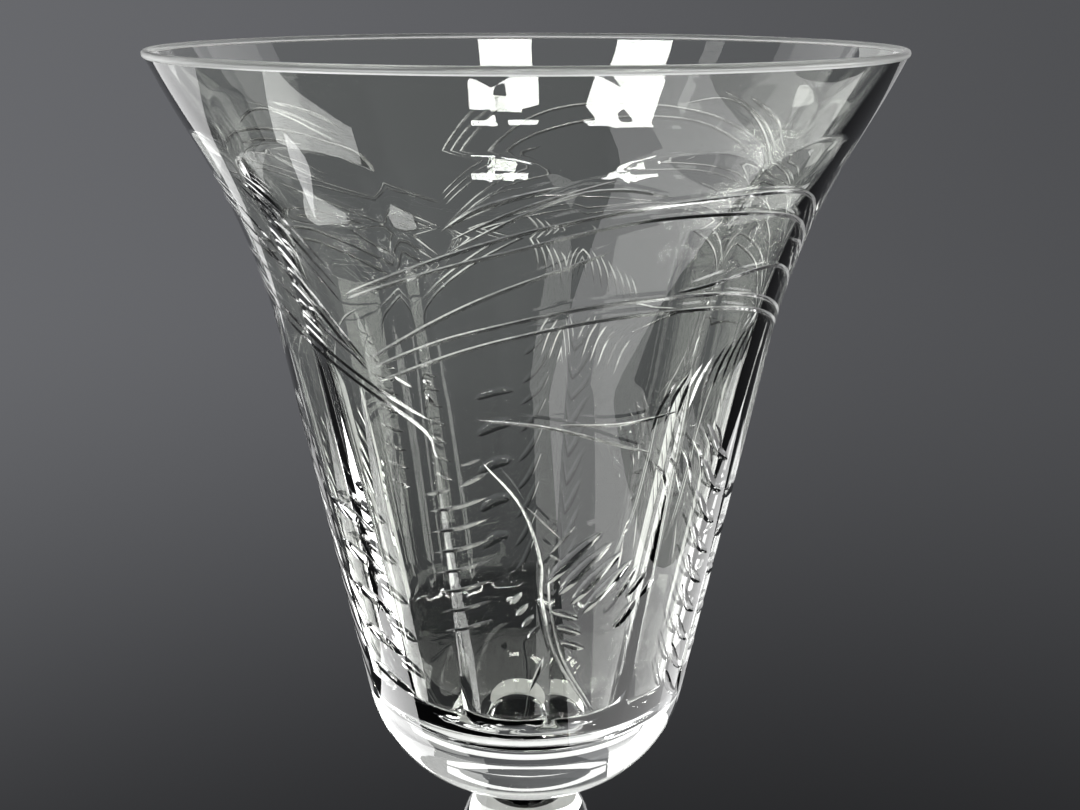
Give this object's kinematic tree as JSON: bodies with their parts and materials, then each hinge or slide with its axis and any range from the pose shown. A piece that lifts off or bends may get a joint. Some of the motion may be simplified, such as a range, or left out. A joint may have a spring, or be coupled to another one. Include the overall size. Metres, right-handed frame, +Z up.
{
  "type": "wine glass",
  "caption": "Stemmed drinking glass with a flared bowl panelled inside, a ball knop, a slim stem and a round foot.",
  "frame": {"origin": "centre of the ground ring under the foot, on the surface the glass stands on", "axes": "+Z up along the glass's axis, from the foot to the rim; X and Y are level, and -Y faces the camera of the visual model"},
  "size_m": [0.0836, 0.0836, 0.172],
  "materials": {
    "clear_glass": "polished"
  },
  "bodies": {
    "root": {"bowl": "clear_glass", "knop": "clear_glass", "stem": "clear_glass", "foot_wafer": "clear_glass", "foot": "clear_glass"}
  },
  "joints": []
}
